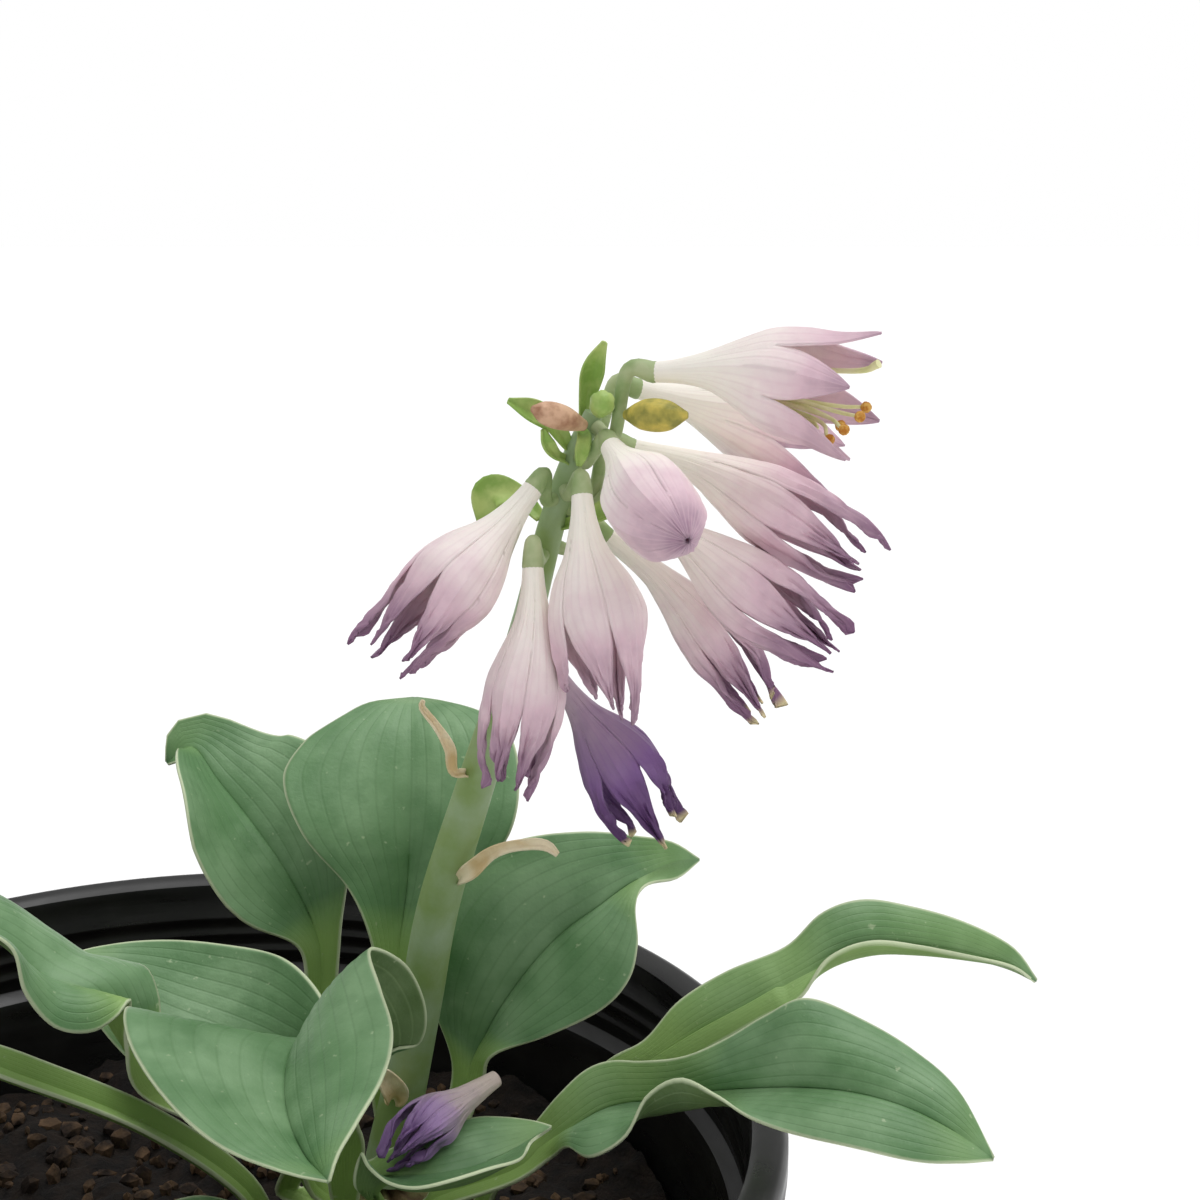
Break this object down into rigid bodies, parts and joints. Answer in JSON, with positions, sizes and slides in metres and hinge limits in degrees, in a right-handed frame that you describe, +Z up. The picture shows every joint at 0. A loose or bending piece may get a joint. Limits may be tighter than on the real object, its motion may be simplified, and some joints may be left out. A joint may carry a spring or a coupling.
{
  "type": "potted hosta plant",
  "caption": "Small hosta in a round black nursery pot: cupped blue-green leaves with pale edges and a leaning stem of lilac bell flowers.",
  "frame": {"origin": "centre of the pot's flat underside, on the surface that the pot stands on", "axes": "+Z up; the flower stem leans towards +X and the front leaf reaches towards -Y"},
  "size_m": [0.2633, 0.216, 0.3459],
  "materials": {
    "pot_black": "black injection-moulded polypropylene, satin with fine scratches",
    "mix_brown": "damp bark and peat potting mix, crumbly",
    "crown_tan": "fibrous stalk bases, matt",
    "leaf_blue_green": "blue-green waxy leaf with a thin pale margin",
    "stem_green": "olive green stalk with a blue bloom",
    "bract_green": "fresh green, satin",
    "bract_straw": "dried, papery, straw tan",
    "petal_lilac": "thin petal, cream to lilac, faint veins",
    "petal_purple": "withered petal, dark violet",
    "anther_brown": "pollen-dusted anther on a pale filament"
  },
  "bodies": {
    "root": {"bract_apex_front": "bract_green", "bract_apex_green": "bract_green", "bract_apex_left": "bract_green", "bract_dried_base": "bract_straw", "bract_dried_middle": "bract_straw", "bract_dried_upper": "bract_straw", "bract_heart": "bract_green", "bract_left_narrow": "bract_green", "bract_right_green": "bract_green", "bud_apex_peach": "bract_green", "bud_apex_round": "bract_green", "bud_apex_yellow": "bract_green", "crown": "crown_tan", "flower_centre_pink": "petal_lilac", "flower_fallen": "petal_purple", "flower_left": "petal_lilac", "flower_purple": "petal_purple", "flower_right_low": "petal_lilac", "flower_right_middle": "petal_lilac", "flower_right_wilted": "petal_lilac", "flower_stem": "stem_green", "flower_stem_front": "petal_lilac", "flower_striped_bud": "petal_lilac", "flower_top_open": "petal_lilac", "flower_top_rear": "petal_lilac", "leaf_back_centre": "leaf_blue_green", "leaf_back_left": "leaf_blue_green", "leaf_back_right": "leaf_blue_green", "leaf_far_left": "leaf_blue_green", "leaf_front": "leaf_blue_green", "leaf_front_low": "leaf_blue_green", "leaf_front_right": "leaf_blue_green", "leaf_front_small": "leaf_blue_green", "leaf_left": "leaf_blue_green", "leaf_low_left": "leaf_blue_green", "leaf_right_lower": "leaf_blue_green", "leaf_right_upper": "leaf_blue_green", "nursery_pot": "pot_black", "open_flower_stamen_1": "anther_brown", "open_flower_stamen_2": "anther_brown", "open_flower_stamen_3": "anther_brown", "open_flower_stamen_4": "anther_brown", "open_flower_stamen_5": "anther_brown", "open_flower_stamen_6": "anther_brown", "open_flower_style": "bract_green", "pedicel_centre_pink": "stem_green", "pedicel_left": "stem_green", "pedicel_purple": "stem_green", "pedicel_right_low": "stem_green", "pedicel_right_middle": "stem_green", "pedicel_right_wilted": "stem_green", "pedicel_stem_front": "stem_green", "pedicel_striped_bud": "stem_green", "pedicel_top_open": "stem_green", "pedicel_top_rear": "stem_green", "potting_mix": "mix_brown"}
  },
  "joints": []
}
